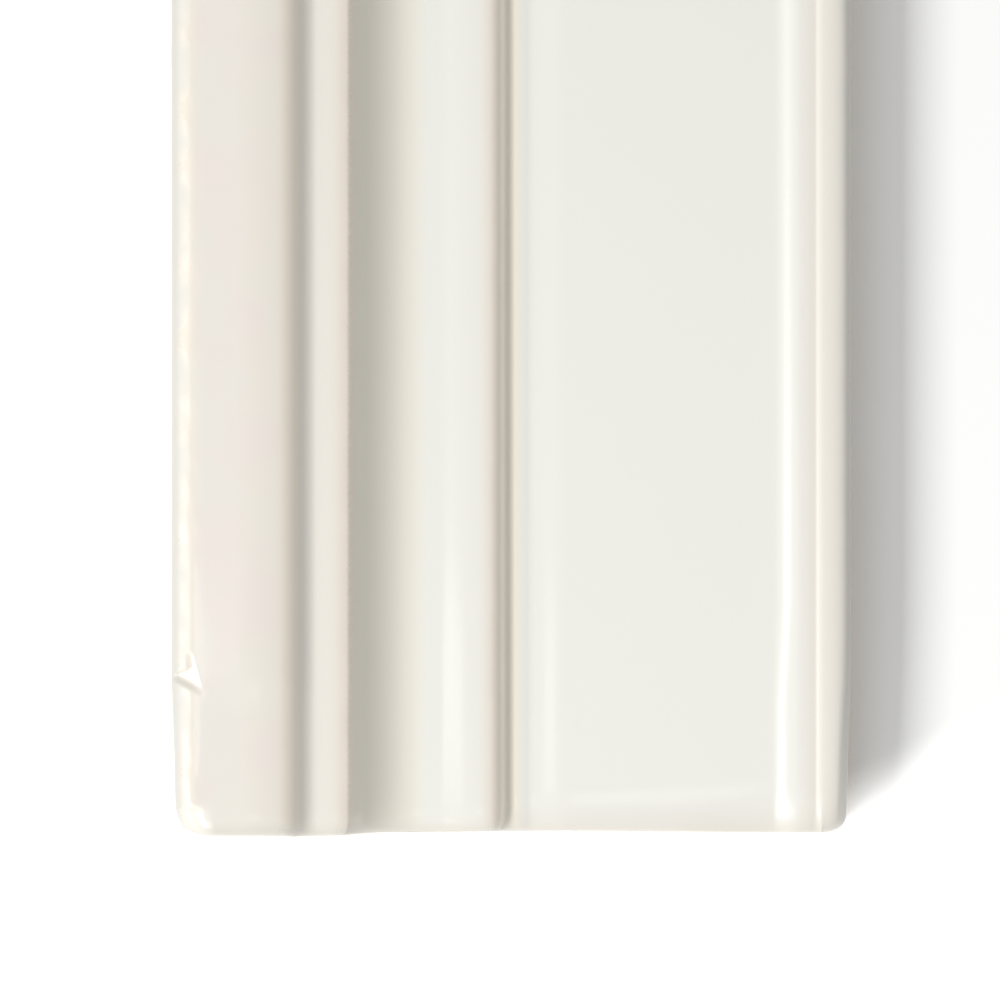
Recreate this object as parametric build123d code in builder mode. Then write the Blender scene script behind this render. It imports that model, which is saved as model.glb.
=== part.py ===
import math
import os

from build123d import *

# Ogee trim tile: one moulded and fired piece, lying on its back.
# X runs across the mouldings (band at -X, rim at +X), Y along the length, Z up from the back.

# Overall size in millimetres: a nominal 3 x 6 inch trim
TILE_WIDTH = 76.2
TILE_LENGTH = 152.4

# Thickness at the field, then the height of each moulding above or below the one before it
FIELD_THICKNESS = 9.28
QUIRK_DIP = 0.17
OGEE_ROLL_HEIGHT = 2.04
COVE_DIP = 0.17
COVE_DEPTH = 5.13
BAND_STEP = 2.94
RIM_HEIGHT = 0.75

# Widths of the level runs; the field takes what is left
BAND_WIDTH = 7.65
LISTEL_WIDTH = 1.6
COVE_FLOOR_WIDTH = 2.14
OGEE_CREST_WIDTH = 0.3
QUIRK_FLOOR_WIDTH = 1.14
RIM_FLAT_WIDTH = 0.6

# Each moulding rolls over on a soft crown, turns a tighter edge and runs out in a hollow foot
BAND_CROWN_RADIUS = 25.0
BAND_CROWN_ANGLE = 10.0
BAND_EDGE_RADIUS = 3.4
BAND_FOOT_RADIUS = 2.4
LISTEL_CROWN_RADIUS = 6.5
LISTEL_CROWN_ANGLE = 14.0
LISTEL_EDGE_RADIUS = 0.9
COVE_RADIUS = 8.7
COVE_LIFT_RADIUS = 12.0
OGEE_BELLY_RADIUS = 34.0
OGEE_CROWN_RADIUS = 12.0
OGEE_CROWN_ANGLE = 7.0
OGEE_ROLL_RADIUS = 2.8
OGEE_QUIRK_RADIUS = 1.0
FIELD_LIFT_RADIUS = 40.0
RIM_STEP_RADIUS = 3.0
RIM_CROWN_RADIUS = 8.0
RIM_CROWN_ANGLE = 8.0

# The long edges: a soft shoulder beside the band, a bead outside the rim's quirk
SHOULDER_RADIUS = 3.0
SHOULDER_ANGLE = 56.0
BEAD_QUIRK_RADIUS = 0.6
BEAD_RADIUS = 2.2
BEAD_QUIRK_ANGLE = 22.0
BEAD_CROWN_RADIUS = 7.0
BEAD_CROWN_ANGLE = 13.0
BEAD_EDGE_RADIUS = 2.6
BEAD_FALL_ANGLE = 55.0

# Corners in plan, and the fired edge that runs round the whole face
CORNER_RADIUS = 2.2
EDGE_ROUND = 0.8

# Keys on the unglazed back, for the adhesive
KEY_COUNT = 6
KEY_PITCH = 12.0
KEY_WIDTH = 4.0
KEY_DEPTH = 0.8
KEY_SIDE_ANGLE = 60.0

RIGHT, LEFT = 1, -1

quirk_level = FIELD_THICKNESS - QUIRK_DIP
crest_level = quirk_level + OGEE_ROLL_HEIGHT
cove_level = crest_level - COVE_DIP
listel_level = cove_level + COVE_DEPTH
band_level = listel_level + BAND_STEP


def fall(start, way, level, crown_radius, crown_angle, edge_radius, foot_radius):
    """Roll over from a level run and drop to a lower level, ending level; returns the foot's end."""
    crown = JernArc(start, (way, 0), crown_radius, -way * crown_angle)
    reach = edge_radius * math.cos(math.radians(crown_angle)) + foot_radius
    spare = reach - ((crown @ 1).Y - level)
    steepest = math.degrees(math.acos(max(0, spare) / (edge_radius + foot_radius)))
    face = JernArc(crown @ 1, crown % 1, edge_radius, way * (crown_angle - steepest))
    if spare < 0:
        face = Line(face @ 1, face @ 1 + (0, spare))
    foot = JernArc(face @ 1, face % 1, foot_radius, way * steepest)
    return foot @ 1


def ease(start, way, level, first_radius, last_radius):
    """Pass from a level run to a higher or lower one on two arcs that turn alike; returns the far end."""
    change = level - start.Y
    turn = math.degrees(math.acos(1 - abs(change) / (first_radius + last_radius)))
    turn = math.copysign(turn, way * change)
    first = JernArc(start, (way, 0), first_radius, turn)
    last = JernArc(first @ 1, first % 1, last_radius, -turn)
    return last @ 1


def level_run(start, way, width):
    """A flat run of the section; returns its far end."""
    return Line(start, start + (way * width, 0)) @ 1


with BuildPart() as tile:
    with BuildSketch(Plane.XZ) as section:
        with BuildLine():
            # Band side: back edge up to the shoulder, then the band
            shoulder_rise = SHOULDER_RADIUS * (1 - math.cos(math.radians(SHOULDER_ANGLE)))
            band_side = Line((-TILE_WIDTH / 2, 0), (-TILE_WIDTH / 2, band_level - shoulder_rise))
            uphill = Vector(1, 0).rotate(Axis.Z, SHOULDER_ANGLE)
            shoulder = JernArc(band_side @ 1, uphill, SHOULDER_RADIUS, -SHOULDER_ANGLE)
            band_end = Line(shoulder @ 1, (BAND_WIDTH - TILE_WIDTH / 2, band_level)) @ 1

            # Band down to the listel, listel down into the cove
            listel_start = fall(
                band_end, RIGHT, listel_level,
                BAND_CROWN_RADIUS, BAND_CROWN_ANGLE, BAND_EDGE_RADIUS, BAND_FOOT_RADIUS,
            )
            listel_end = level_run(listel_start, RIGHT, LISTEL_WIDTH)
            cove_start = fall(
                listel_end, RIGHT, cove_level,
                LISTEL_CROWN_RADIUS, LISTEL_CROWN_ANGLE, LISTEL_EDGE_RADIUS, COVE_RADIUS,
            )
            cove_end = level_run(cove_start, RIGHT, COVE_FLOOR_WIDTH)

            # The ogee turns: up out of the cove, over the crest and down to its quirk
            crest_start = ease(cove_end, RIGHT, crest_level, COVE_LIFT_RADIUS, OGEE_BELLY_RADIUS)
            crest_end = level_run(crest_start, RIGHT, OGEE_CREST_WIDTH)
            quirk_start = fall(
                crest_end, RIGHT, quirk_level,
                OGEE_CROWN_RADIUS, OGEE_CROWN_ANGLE, OGEE_ROLL_RADIUS, OGEE_QUIRK_RADIUS,
            )
            quirk_end = level_run(quirk_start, RIGHT, QUIRK_FLOOR_WIDTH)
            field_start = ease(
                quirk_end, RIGHT, FIELD_THICKNESS, FIELD_LIFT_RADIUS, FIELD_LIFT_RADIUS,
            )

            # Rim side: the bead's outside, then inwards from its top
            crown_reach = math.sin(math.radians(BEAD_CROWN_ANGLE))
            fall_reach = math.sin(math.radians(BEAD_FALL_ANGLE))
            bead_reach = BEAD_CROWN_RADIUS * crown_reach + BEAD_EDGE_RADIUS * (fall_reach - crown_reach)
            bead_top = Vector(TILE_WIDTH / 2 - bead_reach, FIELD_THICKNESS + RIM_HEIGHT)
            bead_crown = JernArc(bead_top, (1, 0), BEAD_CROWN_RADIUS, -BEAD_CROWN_ANGLE)
            bead_turn = BEAD_FALL_ANGLE - BEAD_CROWN_ANGLE
            bead_edge = JernArc(bead_crown @ 1, bead_crown % 1, BEAD_EDGE_RADIUS, -bead_turn)
            Line(bead_edge @ 1, (TILE_WIDTH / 2, 0))
            bead_inside = JernArc(bead_top, (-1, 0), BEAD_RADIUS, BEAD_QUIRK_ANGLE)
            quirk_turn = BEAD_QUIRK_ANGLE + RIM_CROWN_ANGLE
            quirk = JernArc(bead_inside @ 1, bead_inside % 1, BEAD_QUIRK_RADIUS, -quirk_turn)
            rim_crown = JernArc(quirk @ 1, quirk % 1, RIM_CROWN_RADIUS, RIM_CROWN_ANGLE)
            rim_end = level_run(rim_crown @ 1, LEFT, RIM_FLAT_WIDTH)
            field_end = ease(rim_end, LEFT, FIELD_THICKNESS, RIM_STEP_RADIUS, RIM_STEP_RADIUS)

            # The field, and the flat back
            Line(field_start, field_end)
            Line((-TILE_WIDTH / 2, 0), (TILE_WIDTH / 2, 0))
        make_face()
        with GridLocations(KEY_PITCH, 0, KEY_COUNT, 1):
            Trapezoid(
                KEY_WIDTH, KEY_DEPTH, KEY_SIDE_ANGLE,
                align=(Align.CENTER, Align.MIN), mode=Mode.SUBTRACT,
            )
    extrude(amount=TILE_LENGTH / 2, both=True)

    # Upright corners first, then one soft edge right round the face
    sides = tile.faces().filter_by(Axis.X).sort_by(Axis.X)
    fillet((sides[0].edges() + sides[-1].edges()).filter_by(Axis.Z), CORNER_RADIUS)
    upper = tile.edges().filter_by(Axis.Z, reverse=True).filter_by_position(
        Axis.Z, FIELD_THICKNESS / 2, band_level
    )
    moulding_lines = upper.filter_by(Axis.Y).sort_by(Axis.X)[1:-1]
    fillet(upper - moulding_lines, EDGE_ROUND)

tile.part.label = "ogee_trim_tile"
os.makedirs("parts", exist_ok=True)
export_step(tile.part, "parts/ogee_trim_tile.step")
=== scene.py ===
import math
import bpy
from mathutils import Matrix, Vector, kdtree, noise


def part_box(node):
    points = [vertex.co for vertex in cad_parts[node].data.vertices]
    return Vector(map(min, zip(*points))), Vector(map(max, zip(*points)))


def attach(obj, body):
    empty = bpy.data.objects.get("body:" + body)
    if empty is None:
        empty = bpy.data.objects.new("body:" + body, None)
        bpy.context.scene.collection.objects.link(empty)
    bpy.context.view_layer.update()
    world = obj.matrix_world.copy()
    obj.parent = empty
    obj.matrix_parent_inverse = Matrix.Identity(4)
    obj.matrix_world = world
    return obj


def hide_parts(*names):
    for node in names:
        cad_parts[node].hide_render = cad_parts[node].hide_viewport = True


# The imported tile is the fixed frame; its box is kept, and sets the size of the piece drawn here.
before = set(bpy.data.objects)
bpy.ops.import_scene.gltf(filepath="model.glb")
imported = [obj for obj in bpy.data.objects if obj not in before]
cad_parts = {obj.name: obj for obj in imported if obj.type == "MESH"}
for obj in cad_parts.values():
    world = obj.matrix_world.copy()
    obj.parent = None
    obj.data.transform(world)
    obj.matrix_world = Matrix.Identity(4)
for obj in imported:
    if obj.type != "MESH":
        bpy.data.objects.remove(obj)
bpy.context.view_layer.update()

# Tile: one moulded ceramic piece, pressed in a die, glazed and fired.
# Its section is drawn as runs and arcs with a one-vertex pen, clockwise from the back's left corner,
# then pushed along the length and made as uneven as settled glaze leaves it.
mm = 0.001
low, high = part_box("ogee_trim_tile")
field_level = 9.28 * mm
quirk_level = 9.11 * mm
crest_level = 11.15 * mm
cove_level = 10.98 * mm
listel_level = 16.11 * mm
back_arris = 0.4 * mm
fired_edge = 0.8 * mm

bpy.ops.object.select_all(action="DESELECT")
bpy.ops.mesh.primitive_plane_add(size=mm)
tile = bpy.context.object
tile.name = "glazed_ogee_trim_tile"
bpy.ops.object.mode_set(mode="EDIT")
bpy.ops.mesh.merge(type="CENTER")
bpy.ops.transform.translate(value=(low.x + back_arris, low.y, 0))
pen = {"at": Vector((low.x + back_arris, low.y, 0)), "heading": 180.0}
section = [(pen["at"], 0.0)]


def draw_run(x, z, step):
    """Push the pen straight to a point of the section, in steps of about that length."""
    change = Vector((x, low.y, z)) - pen["at"]
    count = max(1, round(change.length / step))
    for _ in range(count):
        bpy.ops.mesh.extrude_region_move(TRANSFORM_OT_translate={"value": change / count})
        pen["at"] = pen["at"] + change / count
        section.append((pen["at"], 0.0))
    pen["heading"] = math.degrees(math.atan2(change.z, change.x))


def draw_arc(radius, turn, step_turn=7):
    """Spin the pen on through an arc; a positive turn is to the left, which hollows the face."""
    side = math.copysign(radius, turn)
    length = radius * math.radians(abs(turn))
    count = max(2, math.ceil(abs(turn) / step_turn), math.ceil(length / (0.5 * mm)))
    aim = math.radians(pen["heading"])
    centre = pen["at"] + side * Vector((-math.sin(aim), 0, math.cos(aim)))
    bpy.ops.mesh.spin(steps=count, angle=math.radians(turn), center=centre, axis=(0, 1, 0))
    for step in range(1, count + 1):
        aim = math.radians(pen["heading"] + turn * step / count)
        pen["at"] = centre - side * Vector((-math.sin(aim), 0, math.cos(aim)))
        section.append((pen["at"], 1 / side))
    pen["heading"] += turn


def draw_fall(level, crown_radius, crown_turn, edge_radius, foot_radius):
    """Roll over a soft crown and a tighter edge, and run out level in a hollow foot."""
    draw_arc(crown_radius, -crown_turn)
    reach = edge_radius * math.cos(math.radians(crown_turn)) + foot_radius
    spare = reach - (pen["at"].z - level)
    steepest = math.degrees(math.acos(max(0, spare) / (edge_radius + foot_radius)))
    draw_arc(edge_radius, crown_turn - steepest)
    if spare < 0:
        draw_run(pen["at"].x, pen["at"].z + spare, step=0.3 * mm)
    draw_arc(foot_radius, steepest)


def draw_ease(level, first_radius, last_radius):
    """Pass to a higher or lower level run on two arcs that turn alike."""
    change = level - pen["at"].z
    turn = math.degrees(math.acos(1 - abs(change) / (first_radius + last_radius)))
    draw_arc(first_radius, math.copysign(turn, change))
    draw_arc(last_radius, -math.copysign(turn, change))


# Band side and band, with closer points on the width that is dented
shoulder_radius, shoulder_angle = 3.0 * mm, 56
dented_width, band_width = 4.6 * mm, 7.65 * mm
shoulder_reach = shoulder_radius * math.sin(math.radians(shoulder_angle))
shoulder_turn = math.degrees(math.asin((shoulder_reach - fired_edge) / (shoulder_radius - fired_edge)))
shoulder_lift = (shoulder_radius - fired_edge) * math.cos(math.radians(shoulder_turn))
draw_arc(back_arris, turn=-90)
draw_run(low.x, high.z - shoulder_radius + shoulder_lift, step=0.8 * mm)
draw_arc(fired_edge, turn=shoulder_turn - 90)
draw_arc(shoulder_radius, turn=-shoulder_turn, step_turn=4)
draw_run(low.x + dented_width, high.z, step=0.2 * mm)
draw_run(low.x + band_width, high.z, step=0.4 * mm)

# Listel, cove, ogee crest and its quirk
listel_width, cove_floor_width = 1.6 * mm, 2.14 * mm
crest_width, quirk_floor_width = 0.3 * mm, 1.14 * mm
draw_fall(listel_level, crown_radius=25.0 * mm, crown_turn=10, edge_radius=3.4 * mm, foot_radius=2.4 * mm)
draw_run(pen["at"].x + listel_width, listel_level, step=0.4 * mm)
draw_fall(cove_level, crown_radius=6.5 * mm, crown_turn=14, edge_radius=0.9 * mm, foot_radius=8.7 * mm)
draw_run(pen["at"].x + cove_floor_width, cove_level, step=0.5 * mm)
draw_ease(crest_level, first_radius=12.0 * mm, last_radius=34.0 * mm)
draw_run(pen["at"].x + crest_width, crest_level, step=0.2 * mm)
draw_fall(quirk_level, crown_radius=12.0 * mm, crown_turn=7, edge_radius=2.8 * mm, foot_radius=1.0 * mm)
draw_run(pen["at"].x + quirk_floor_width, quirk_level, step=0.5 * mm)
draw_ease(field_level, first_radius=40.0 * mm, last_radius=40.0 * mm)

# Field, then the low rim, its quirk and the bead, set out from the rim side
rim_height, rim_flat_width = 0.75 * mm, 0.6 * mm
rim_radius, rim_turn = 8.0 * mm, 8
rim_step_radius = 3.0 * mm
rim_quirk_radius = 0.6 * mm
bead_radius, bead_turn = 2.2 * mm, 22
bead_crown_radius, bead_crown_turn = 7.0 * mm, 13
bead_edge_radius, bead_fall_turn = 2.6 * mm, 55
sine = {turn: math.sin(math.radians(turn)) for turn in (rim_turn, bead_turn, bead_crown_turn, bead_fall_turn)}
cosine = {turn: math.cos(math.radians(turn)) for turn in (rim_turn, bead_turn)}
bead_level = field_level + rim_height
rim_level = bead_level - bead_radius * (1 - cosine[bead_turn])
rim_level -= rim_quirk_radius * (cosine[rim_turn] - cosine[bead_turn])
rim_level += rim_radius * (1 - cosine[rim_turn])
rim_step_turn = math.acos(1 - (rim_level - field_level) / (2 * rim_step_radius))
rim_run = 2 * rim_step_radius * math.sin(rim_step_turn) + rim_flat_width
rim_run += rim_radius * sine[rim_turn] + rim_quirk_radius * (sine[rim_turn] + sine[bead_turn])
bead_run = bead_radius * sine[bead_turn] + bead_crown_radius * sine[bead_crown_turn]
bead_run += bead_edge_radius * (sine[bead_fall_turn] - sine[bead_crown_turn])
edge_turn = (bead_edge_radius * sine[bead_fall_turn] - fired_edge) / (bead_edge_radius - fired_edge)
edge_turn = math.degrees(math.asin(edge_turn))
draw_run(high.x - rim_run - bead_run, field_level, step=0.6 * mm)
draw_ease(rim_level, first_radius=rim_step_radius, last_radius=rim_step_radius)
draw_run(pen["at"].x + rim_flat_width, rim_level, step=0.3 * mm)
draw_arc(rim_radius, turn=-rim_turn)
draw_arc(rim_quirk_radius, turn=rim_turn + bead_turn)
draw_arc(bead_radius, turn=-bead_turn)
draw_arc(bead_crown_radius, turn=-bead_crown_turn)
draw_arc(bead_edge_radius, turn=bead_crown_turn - edge_turn)
draw_arc(fired_edge, turn=edge_turn - 90)

# Rim side and the keyed back
key_centres = [place * mm for place in (30, 18, 6, -6, -18, -30)]
half_key_mouth, half_key_floor, key_depth = 2.0 * mm, 1.54 * mm, 0.8 * mm
draw_run(high.x, back_arris, step=0.8 * mm)
draw_arc(back_arris, turn=-90)
for key in key_centres:
    draw_run(key + half_key_mouth, 0, step=2 * mm)
    draw_run(key + half_key_floor, key_depth, step=mm)
    draw_run(key - half_key_floor, key_depth, step=mm)
    draw_run(key - half_key_mouth, 0, step=mm)
draw_run(low.x + back_arris, 0, step=2 * mm)

# Length: close stations where each end rolls over and by the dented edge, wider ones between
end_reach = 4.6 * mm
roll_steps, plain_steps = 10, 190
stations = [
    end_reach * (1 - math.cos(math.radians(90 * step / roll_steps))) for step in range(roll_steps + 1)
]
stations += [stations[-1] + 0.66 * mm * step for step in range(1, 15)]
stations += [stations[-1] + 0.2 * mm * step for step in range(1, 37)]
far_roll = [high.y - low.y - gap for gap in stations[roll_steps::-1]]
between = (far_roll[0] - stations[-1]) / plain_steps
stations += [stations[-1] + between * step for step in range(1, plain_steps)] + far_roll
bpy.ops.mesh.select_all(action="SELECT")
bpy.ops.mesh.remove_doubles(threshold=0.001 * mm)
bpy.ops.mesh.edge_face_add()
for before, after in zip(stations, stations[1:]):
    bpy.ops.mesh.extrude_region_move(TRANSFORM_OT_translate={"value": (0, after - before, 0)})
bpy.ops.mesh.select_all(action="SELECT")
bpy.ops.mesh.normals_make_consistent(inside=False)
bpy.ops.object.mode_set(mode="OBJECT")

# Outward direction round the section, and the glaze there: thin on its edges, pooled in its hollows
edge_spread, hollow_spread, half_share_radius = 0.7 * mm, 1.2 * mm, 3 * mm
section.pop()
points = [Vector((at.x, at.z)) for at, bend in section]
bends = [bend * half_share_radius for at, bend in section]
edges = [max(0.0, -bend) / (1 + abs(bend)) for bend in bends]
hollows = [max(0.0, bend) / (1 + abs(bend)) for bend in bends]
outward = []
thinness = []
pooling = []
for index, point in enumerate(points):
    along = points[(index + 1) % len(points)] - points[index - 1]
    outward.append(Vector((-along.y, along.x)).normalized())
    gaps = [(other - point).length_squared for other in points]
    near_edge = [math.exp(-gap / edge_spread ** 2) for gap in gaps]
    near_hollow = [math.exp(-gap / hollow_spread ** 2) for gap in gaps]
    thinness.append(sum(map(float.__mul__, near_edge, edges)) / sum(near_edge))
    pooling.append(sum(map(float.__mul__, near_hollow, hollows)) / sum(near_hollow))
nearest = kdtree.KDTree(len(points))
for index, point in enumerate(points):
    nearest.insert((point.x, 0, point.y), index)
nearest.balance()


def part_of(value):
    """The value, kept between none and all."""
    return min(1.0, max(0.0, value))


def eased(value):
    """The value, kept between none and all, with a soft start and end."""
    return 0.5 - 0.5 * math.cos(math.pi * part_of(value))


# Fired form: ends roll in, corners round off, glaze swells and sinks, the thick edge is lumpy and chipped
glaze = {"thin_glaze": [], "pooled_glaze_and_warm_shade": [], "grey_side_edge": [], "rolled_end": []}
for vertex in tile.data.vertices:
    spot = vertex.co.copy()
    index = nearest.find((spot.x, 0, spot.z))[1]
    normal = Vector((outward[index].x, 0, outward[index].y))
    from_near = spot.y - low.y
    from_end = min(from_near, high.y - spot.y)
    from_left = spot.x - low.x
    from_side = min(from_left, high.x - spot.x)
    glazed = part_of(spot.z / mm - 2.0)
    face = glazed if from_side > 1.2 * mm else part_of(normal.z / 0.5) * glazed
    height = part_of((spot.z - field_level) / (high.z - field_level))

    # Ends roll over, further in on the low parts, with a lip at the rim. Beside the long edges the whole
    # height sinks in proportion, so that the sides stay plain.
    low_lying = math.exp(-max(0.0, spot.z - field_level) / (0.9 * mm))
    roll_reach = (2.2 + (1.8 + max(0.0, spot.x) / (14 * mm)) * low_lying) * mm
    roll_depth = (1.1 - 0.2 * height) * mm
    rolled = max(0.0, 1 - from_end / roll_reach)
    lip_depth = 0.6 * mm * eased((spot.x - 18 * mm) / (12 * mm))
    lip = max(0.0, 1 - from_end / (5 * mm)) ** 2
    roll = roll_depth * (1 - math.sqrt(max(0.0, 1 - rolled * rolled))) + lip_depth * lip
    beside = part_of(1.6 - from_side / (2 * mm))
    top = high.z if spot.x < 0 else bead_level
    inwards = normal * glazed * (1 - beside) + Vector((0, 0, spot.z / top)) * beside

    # Glaze swells and its edges wave, the thick edge is lumpy, the band leans towards its near end, and
    # the ogee's quirk is part filled
    swell = 0.5 - 0.5 * noise.noise(Vector((spot.x / (14 * mm), spot.y / (26 * mm), 0.3)))
    wave = 0.5 - 0.5 * noise.noise(Vector((spot.x / (5 * mm), spot.y / (3.5 * mm), 4.1)))
    lump = 0.5 - 0.5 * noise.fractal(Vector((spot.x / (3 * mm), spot.y / (4 * mm), 7.7)), 0.8, 2.0, 3)
    on_edge = part_of(2 * thinness[index] - 0.6) * glazed
    on_left = math.exp(-((from_left - 1.4 * mm) / (1.2 * mm)) ** 2) * face
    on_band = part_of((spot.z - listel_level) / (2.9 * mm)) * part_of((from_left - 1.5 * mm) / (6 * mm))
    lean = on_band * eased((-57 * mm - spot.y) / (6 * mm))
    in_quirk = part_of((pooling[index] - 0.2) / 0.2) if abs(spot.x) < 3 * mm else 0.0
    sunk = 0.05 * swell * glazed + 0.14 * wave * on_edge + 0.16 * lump * on_left
    sunk += 0.16 * lean - 0.2 * in_quirk

    # The chip: a slanted facet that ends below in a soft wall
    down = -56.7 * mm - spot.y
    chip = 0.0
    if from_left <= 4 * mm and -mm <= down <= 6 * mm:
        facet = high.z - 0.36 * (3.2 * mm - from_left) - 0.1 * (down - 1.4 * mm)
        wall = part_of((2.6 * mm + 0.45 * (from_left - 0.8 * mm) - down) / (1.2 * mm))
        notch = part_of((from_left - 1.7 * mm + 3 * max(0.0, down - 0.7 * mm)) / (0.8 * mm))
        chip = max(0.0, spot.z - facet) * wall * wall * (3 - 2 * wall) * notch
    spot -= normal * sunk * mm + inwards * roll
    spot.z -= chip * face

    # Corners drop, and towards the near end the right edge falls away more steeply
    dropped = max(0.0, 1 - from_side / (4.6 * mm)) ** 1.5
    if spot.x < 0:
        dropped *= 2.0 * part_of((3.0 * mm - from_end) / (0.5 * mm))
    else:
        dropped *= 1.6 * max(0.0, 1 - from_end / (9 * mm)) ** 2
        dropped += 0.9 * max(0.0, 1 - from_side / (1.3 * mm)) * part_of(1.4 - from_near / (16 * mm))
    spot.z -= dropped * mm * spot.z / high.z

    # In plan the corners round off, the near end is narrower and bowed, and the ogee's quirk, with the
    # rim's step near its end, lies a little to the left
    corner = (2.8 if spot.x < 0 else 1.9) * mm
    cut = min(corner, max(0.0, corner - from_end))
    cut = corner - math.sqrt(corner * corner - cut * cut)
    inward = cut * max(0.0, 1 - from_side / (2 * corner))
    narrow = max(0.0, 1 - from_near / (17 * mm)) ** 0.7 * max(0.0, 1 - from_side / (3.5 * mm))
    spot.x -= math.copysign(inward + 0.5 * mm * narrow, spot.x)
    at_step = math.exp(-((spot.x - 30.5 * mm) / (1.2 * mm)) ** 2) * part_of(2.2 - from_near / (12 * mm))
    at_quirk = math.exp(-((spot.x + 0.8 * mm) / (1.3 * mm)) ** 2)
    spot.x -= (0.5 * at_step + 0.35 * at_quirk) * mm * glazed
    bow = 0.29 * math.exp(-((spot.x - mm) / (19.5 * mm)) ** 4)
    bow += 0.23 * part_of((-24.5 * mm - spot.x) / (1.5 * mm))
    spot.y += bow * mm * max(0.0, 1 - from_near / (8 * mm))
    vertex.co = spot

    # How the glaze lies there: thin on edges and pooling in hollows, which also carry a painted warm shade;
    # greyer on the outermost sides; and a painted shade on the rolled ends
    thin_on_rim = 0.19 * part_of((spot.x - 31.5 * mm) / (1.5 * mm))
    in_hollows = part_of((1.5 * mm - spot.x) / (2 * mm)) * part_of((spot.x + 20.5 * mm) / mm)
    glaze["thin_glaze"].append(thinness[index] if spot.x < 10 * mm else thin_on_rim)
    # Pooling glaze, also the mask for the warm shade painted into the hollows
    glaze["pooled_glaze_and_warm_shade"].append(pooling[index] * in_hollows)
    # The outermost millimetre of each long side is tinted greyer
    glaze["grey_side_edge"].append(math.exp(-(from_side / (0.9 * mm)) ** 3) * glazed)
    # The rolled ends: a mask for the shade painted there, stronger on the high parts, and for a duller glaze
    glaze["rolled_end"].append((0.85 + 0.9 * height) * (rolled * face) ** 1.6)
for name, values in glaze.items():
    tile.data.attributes.new(name, "FLOAT", "POINT").data.foreach_set("value", values)
bpy.ops.object.shade_smooth_by_angle(angle=math.radians(50))
for side in tile.data.polygons:
    side.use_smooth = len(side.vertices) == 4


def colour(code):
    """Linear RGBA of an sRGB hex code."""
    parts = [int(code[start:start + 2], 16) / 255 for start in (1, 3, 5)]
    return [part / 12.92 if part <= 0.04045 else ((part + 0.055) / 1.055) ** 2.4 for part in parts] + [1.0]


def add_node(tree, kind, options, sockets, links):
    """Add a node, set its options and socket values, and link other nodes' outputs into it."""
    node = tree.nodes.new(kind)
    for name, value in options.items():
        setattr(node, name, value)
    for name, value in sockets.items():
        node.inputs[name].default_value = value
    for name, output in links.items():
        tree.links.new(output, node.inputs[name])
    return node


# Gloss off-white glaze over a buff body: a clean wet shine, pink in patches on the band, cream where it is
# thin and where it pools, with a painted warm shade in the hollows, darker and duller in broken patches along
# the thick edge, greyer on the outermost sides, a painted shade on the rolled ends, duller there and on the
# rim, and a dry sandy body below the ragged line where it stops near the back.
off_white_glaze = bpy.data.materials.new("gloss_off_white_glaze_on_buff_body")
off_white_glaze.use_nodes = True
tree = off_white_glaze.node_tree
shader = tree.nodes["Principled BSDF"]
shader.inputs["IOR"].default_value = 1.5
place = add_node(tree, "ShaderNodeTexCoord", {}, {}, {}).outputs["Object"]
axes = add_node(tree, "ShaderNodeSeparateXYZ", {}, {}, {"Vector": place}).outputs
thin, pooled_and_warm_shade, greyed_sides, end_shade_and_dulling = [
    add_node(tree, "ShaderNodeAttribute", {"attribute_name": name}, {}, {}).outputs["Fac"] for name in glaze
]
cloud = add_node(
    tree, "ShaderNodeTexNoise", {}, {"Scale": 1 / (9 * mm), "Detail": 2.0}, {"Vector": place}
).outputs["Fac"]
ragged = add_node(
    tree, "ShaderNodeTexNoise", {}, {"Scale": 1 / (6 * mm), "Detail": 4.0}, {"Vector": place}
).outputs["Fac"]
grain = add_node(
    tree, "ShaderNodeTexNoise", {}, {"Scale": 1 / (0.5 * mm), "Detail": 2.0}, {"Vector": place}
).outputs["Fac"]

# Where each tint shows: raised parts, blushing band, pooling glaze with a painted warm shade, thin edges,
# darker thick edge, bare body
raised = add_node(
    tree, "ShaderNodeMapRange", {}, {"From Min": 13 * mm, "From Max": 15.5 * mm}, {"Value": axes["Z"]}
).outputs["Result"]
patchy = add_node(
    tree, "ShaderNodeMapRange", {}, {"From Min": 0.42, "From Max": 0.6, "To Max": 0.5}, {"Value": cloud}
).outputs["Result"]
topmost = add_node(
    tree, "ShaderNodeMapRange", {}, {"From Min": 16.5 * mm, "From Max": 18 * mm}, {"Value": axes["Z"]}
).outputs["Result"]
blush = add_node(tree, "ShaderNodeMath", {"operation": "MULTIPLY"}, {}, {0: topmost, 1: patchy}).outputs[0]
# The pooling tint is partly a painted warm shade in the hollows
pooled_and_warm_shade = add_node(
    tree, "ShaderNodeMapRange", {}, {"From Min": 0.1, "From Max": 0.35, "To Max": 0.9}, {"Value": pooled_and_warm_shade}
).outputs["Result"]
speckled = add_node(
    tree, "ShaderNodeMapRange", {}, {"From Min": 0.35, "From Max": 0.65, "To Min": 0.9, "To Max": 1.05},
    {"Value": grain},
).outputs["Result"]
thin = add_node(tree, "ShaderNodeMath", {"operation": "MULTIPLY"}, {}, {0: thin, 1: speckled}).outputs[0]
warmed = add_node(
    tree, "ShaderNodeMapRange", {}, {"From Min": 0.05, "From Max": 0.4}, {"Value": thin}
).outputs["Result"]
broken = add_node(
    tree, "ShaderNodeMapRange", {}, {"From Min": 0.4, "From Max": 0.55, "To Min": 0.2}, {"Value": ragged}
).outputs["Result"]
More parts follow.
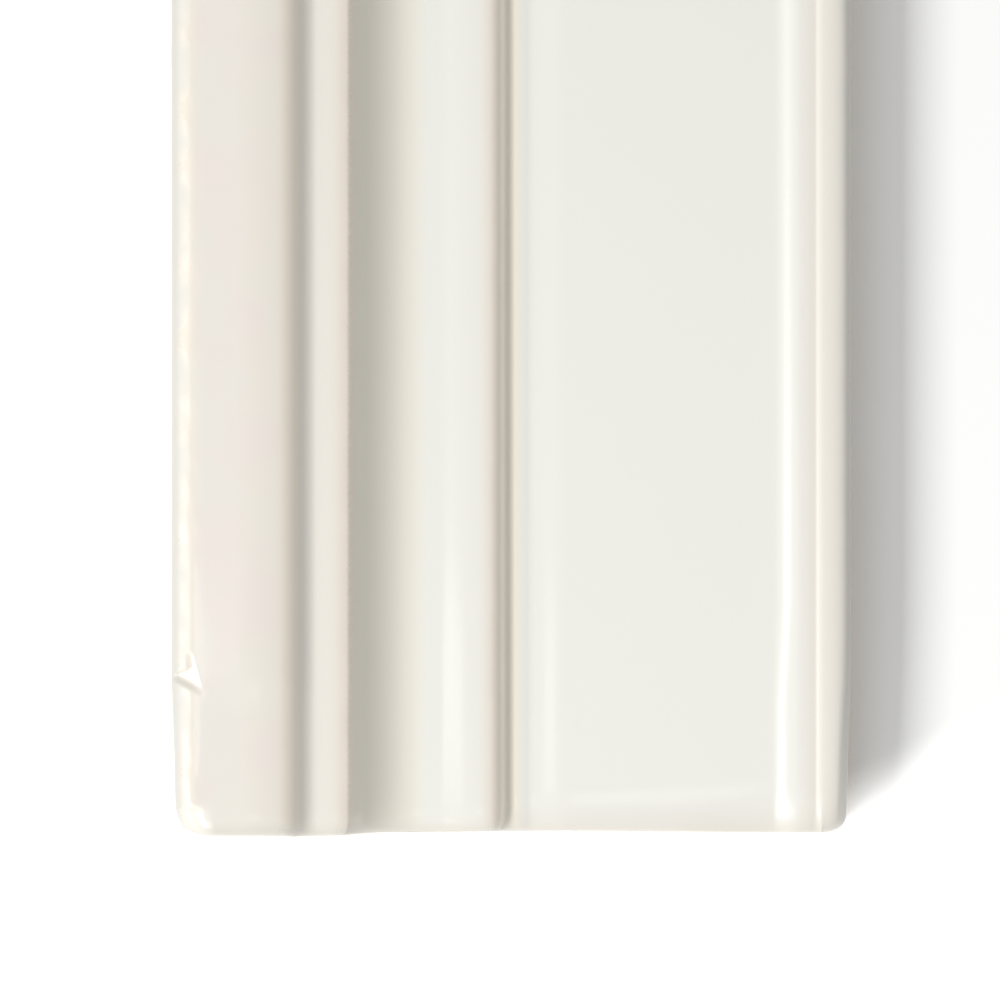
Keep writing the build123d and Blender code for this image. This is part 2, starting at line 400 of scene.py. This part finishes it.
# Darker and duller in broken patches along the thick left edge
darker_duller_left_edge = add_node(
    tree, "ShaderNodeMapRange", {}, {"From Min": -35.3 * mm, "From Max": -36.7 * mm}, {"Value": axes["X"]}
).outputs["Result"]
darker_duller_left_edge = add_node(tree, "ShaderNodeMath", {"operation": "MULTIPLY"}, {}, {0: darker_duller_left_edge, 1: broken}).outputs[0]
glaze_line = add_node(
    tree, "ShaderNodeMath", {"operation": "MULTIPLY_ADD"}, {1: -3 * mm}, {0: ragged, 2: axes["Z"]}
).outputs[0]
body = add_node(
    tree, "ShaderNodeMapRange", {}, {"From Min": 0.6 * mm, "From Max": 0.2 * mm}, {"Value": glaze_line}
).outputs["Result"]

# Tint: the field's off-white, then each of those over it
tint = add_node(
    tree, "ShaderNodeMix", {"data_type": "RGBA"}, {6: colour("#E9E8E1"), 7: colour("#E6E2D9")}, {0: raised}
).outputs[2]
# Over it: pink blush, the pooled tint with its painted warm shade, warm thin edges, the darker left edge,
# greyer sides, and a painted shade on the rolled ends
for share, code in (
    (blush, "#E9DDD8"), (pooled_and_warm_shade, "#EBE4D3"), (warmed, "#EBE2D4"),
    (darker_duller_left_edge, "#DDDAD1"), (greyed_sides, "#CBC9C2"), (end_shade_and_dulling, "#D9D4CA"),
):
    tint = add_node(
        tree, "ShaderNodeMix", {"data_type": "RGBA"}, {7: colour(code)}, {0: share, 6: tint}
    ).outputs[2]
sand = add_node(
    tree, "ShaderNodeMix", {"data_type": "RGBA"}, {6: colour("#DCC9B1"), 7: colour("#CDB69B")}, {0: grain}
).outputs[2]
tint = add_node(tree, "ShaderNodeMix", {"data_type": "RGBA"}, {}, {0: body, 6: tint, 7: sand}).outputs[2]
tree.links.new(tint, shader.inputs["Base Color"])

# Shine: glossy glaze, less so on edges, ends and rim, and a matt body
shine = add_node(
    tree, "ShaderNodeMapRange", {}, {"From Min": 0.25, "From Max": 0.7, "To Min": 0.1, "To Max": 0.3},
    {"Value": thin},
).outputs["Result"]
rim_dull = 0.14
dull = add_node(
    tree, "ShaderNodeMapRange", {}, {"From Min": 26 * mm, "From Max": 29 * mm, "To Max": rim_dull},
    {"Value": axes["X"]},
).outputs["Result"]
dull = add_node(
    tree, "ShaderNodeMath", {"operation": "MULTIPLY_ADD"}, {1: 0.2}, {0: end_shade_and_dulling, 2: dull}
).outputs[0]
dull = add_node(tree, "ShaderNodeMath", {"operation": "MINIMUM"}, {1: rim_dull}, {0: dull}).outputs[0]
dull = add_node(
    tree, "ShaderNodeMath", {"operation": "MULTIPLY_ADD"}, {1: 0.3}, {0: darker_duller_left_edge, 2: dull}
).outputs[0]
shine = add_node(tree, "ShaderNodeMath", {"operation": "ADD"}, {}, {0: shine, 1: dull}).outputs[0]
shine = add_node(tree, "ShaderNodeMix", {}, {3: 0.85}, {0: body, 2: shine}).outputs[0]
tree.links.new(shine, shader.inputs["Roughness"])

# Relief: a sandy grain on the body, hardly any on the glaze
relief = add_node(
    tree, "ShaderNodeMapRange", {}, {"To Min": 0.02, "To Max": 0.5}, {"Value": body}
).outputs["Result"]
bump = add_node(
    tree, "ShaderNodeBump", {}, {"Distance": 0.1 * mm}, {"Strength": relief, "Height": grain}
).outputs["Normal"]
tree.links.new(bump, shader.inputs["Normal"])
tile.data.materials.append(off_white_glaze)
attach(tile, "root")
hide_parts("ogee_trim_tile")

# Floor: a wide sheet of white paper under the tile, which takes its shadow. In a patch past the tile's near
# right corner its colour glows white as painted light for the lens and for the glaze as a mirror, which cuts
# the shadow off there along a slanted line.
bpy.ops.mesh.primitive_plane_add(size=8.0)
floor = bpy.context.object
floor.name = "white_paper_floor"
paper = bpy.data.materials.new("white_paper")
paper.use_nodes = True
tree = paper.node_tree
shader = tree.nodes["Principled BSDF"]
shader.inputs["Base Color"].default_value = colour("#FBFBFA")
shader.inputs["Roughness"].default_value = 1.0
shader.inputs["Specular IOR Level"].default_value = 0.0
shader.inputs["Emission Color"].default_value = colour("#FFFFFF")
place = add_node(tree, "ShaderNodeTexCoord", {}, {}, {}).outputs["Object"]
# Painted light: a glow on the floor's colour that cuts the shadow off along a slanted line
slant = add_node(
    tree, "ShaderNodeVectorMath", {"operation": "DOT_PRODUCT"}, {1: (0.45, -0.89, 0.0)}, {0: place}
).outputs["Value"]
painted_floor_glow = add_node(
    tree, "ShaderNodeMapRange", {"interpolation_type": "SMOOTHSTEP"},
    {"From Min": 78.5 * mm, "From Max": 86.5 * mm, "To Max": 0.5}, {"Value": slant},
).outputs["Result"]
away = add_node(
    tree, "ShaderNodeVectorMath", {"operation": "DISTANCE"}, {1: (30 * mm, -90 * mm, 0.0)}, {0: place}
).outputs["Value"]
nearby = add_node(
    tree, "ShaderNodeMapRange", {"interpolation_type": "SMOOTHSTEP"},
    {"From Min": 35 * mm, "From Max": 120 * mm, "To Min": 1.0, "To Max": 0.0}, {"Value": away},
).outputs["Result"]
rays = add_node(tree, "ShaderNodeLightPath", {}, {}, {}).outputs
mirrored = add_node(
    tree, "ShaderNodeMath", {"operation": "ADD"}, {},
    {0: rays["Is Glossy Ray"], 1: rays["Is Transmission Ray"]},
).outputs[0]
seen = add_node(
    tree, "ShaderNodeMath", {"operation": "ADD"}, {}, {0: rays["Is Camera Ray"], 1: mirrored}
).outputs[0]
for share in (nearby, seen):
    painted_floor_glow = add_node(tree, "ShaderNodeMath", {"operation": "MULTIPLY"}, {}, {0: painted_floor_glow, 1: share}).outputs[0]
tree.links.new(painted_floor_glow, shader.inputs["Emission Strength"])
floor.data.materials.append(paper)


# Studio light: a strip softbox along the band side towards the near end, with a dimmer skirt above it, a
# small panel near the lens that shows as streaks on the crest and the field, one past the near end, and an
# even white room.
def add_panel(name, place, tilt, turn, width, length, radiance):
    """A plain rectangular lamp that looks down; its power follows from its area and brightness."""
    turned = (0, math.radians(tilt), math.radians(turn))
    bpy.ops.object.light_add(type="AREA", location=place, rotation=turned)
    lamp = bpy.context.object
    lamp.name = name
    lamp.data.shape = "RECTANGLE"
    lamp.data.size = width
    lamp.data.size_y = length
    lamp.data.energy = radiance * math.pi * width * length
    lamp.visible_camera = False


add_panel(
    "strip_softbox", place=(-0.861, -0.57, 0.892), tilt=-44, turn=0, width=0.415, length=1.0, radiance=11.6
)
add_panel(
    "softbox_skirt", place=(-0.42, -0.8, 1.1), tilt=-20, turn=0, width=0.4, length=0.7, radiance=2.2
)
add_panel(
    "lens_panel", place=(-0.1425, -0.085, 0.9), tilt=0, turn=-12, width=0.125, length=0.054, radiance=2.0
)
add_panel(
    "end_panel", place=(0.0475, -0.2375, 0.9), tilt=0, turn=0, width=0.075, length=0.165, radiance=1.1
)
room = bpy.data.worlds.new("white_room")
room.use_nodes = True
room.node_tree.nodes["Background"].inputs["Color"].default_value = colour("#FFFFFF")
room.node_tree.nodes["Background"].inputs["Strength"].default_value = 0.5
bpy.context.scene.world = room

# Camera: straight above the near half of the tile, as in the photo, which the far half runs out of.
bpy.ops.object.camera_add(location=(-1.55 * mm, -38.7 * mm, 640 * mm), rotation=(0, 0, 0))
camera = bpy.context.object
camera.data.sensor_width = 36.0
camera.data.lens = 201.7
bpy.context.scene.camera = camera
bpy.context.scene.view_settings.view_transform = "Standard"
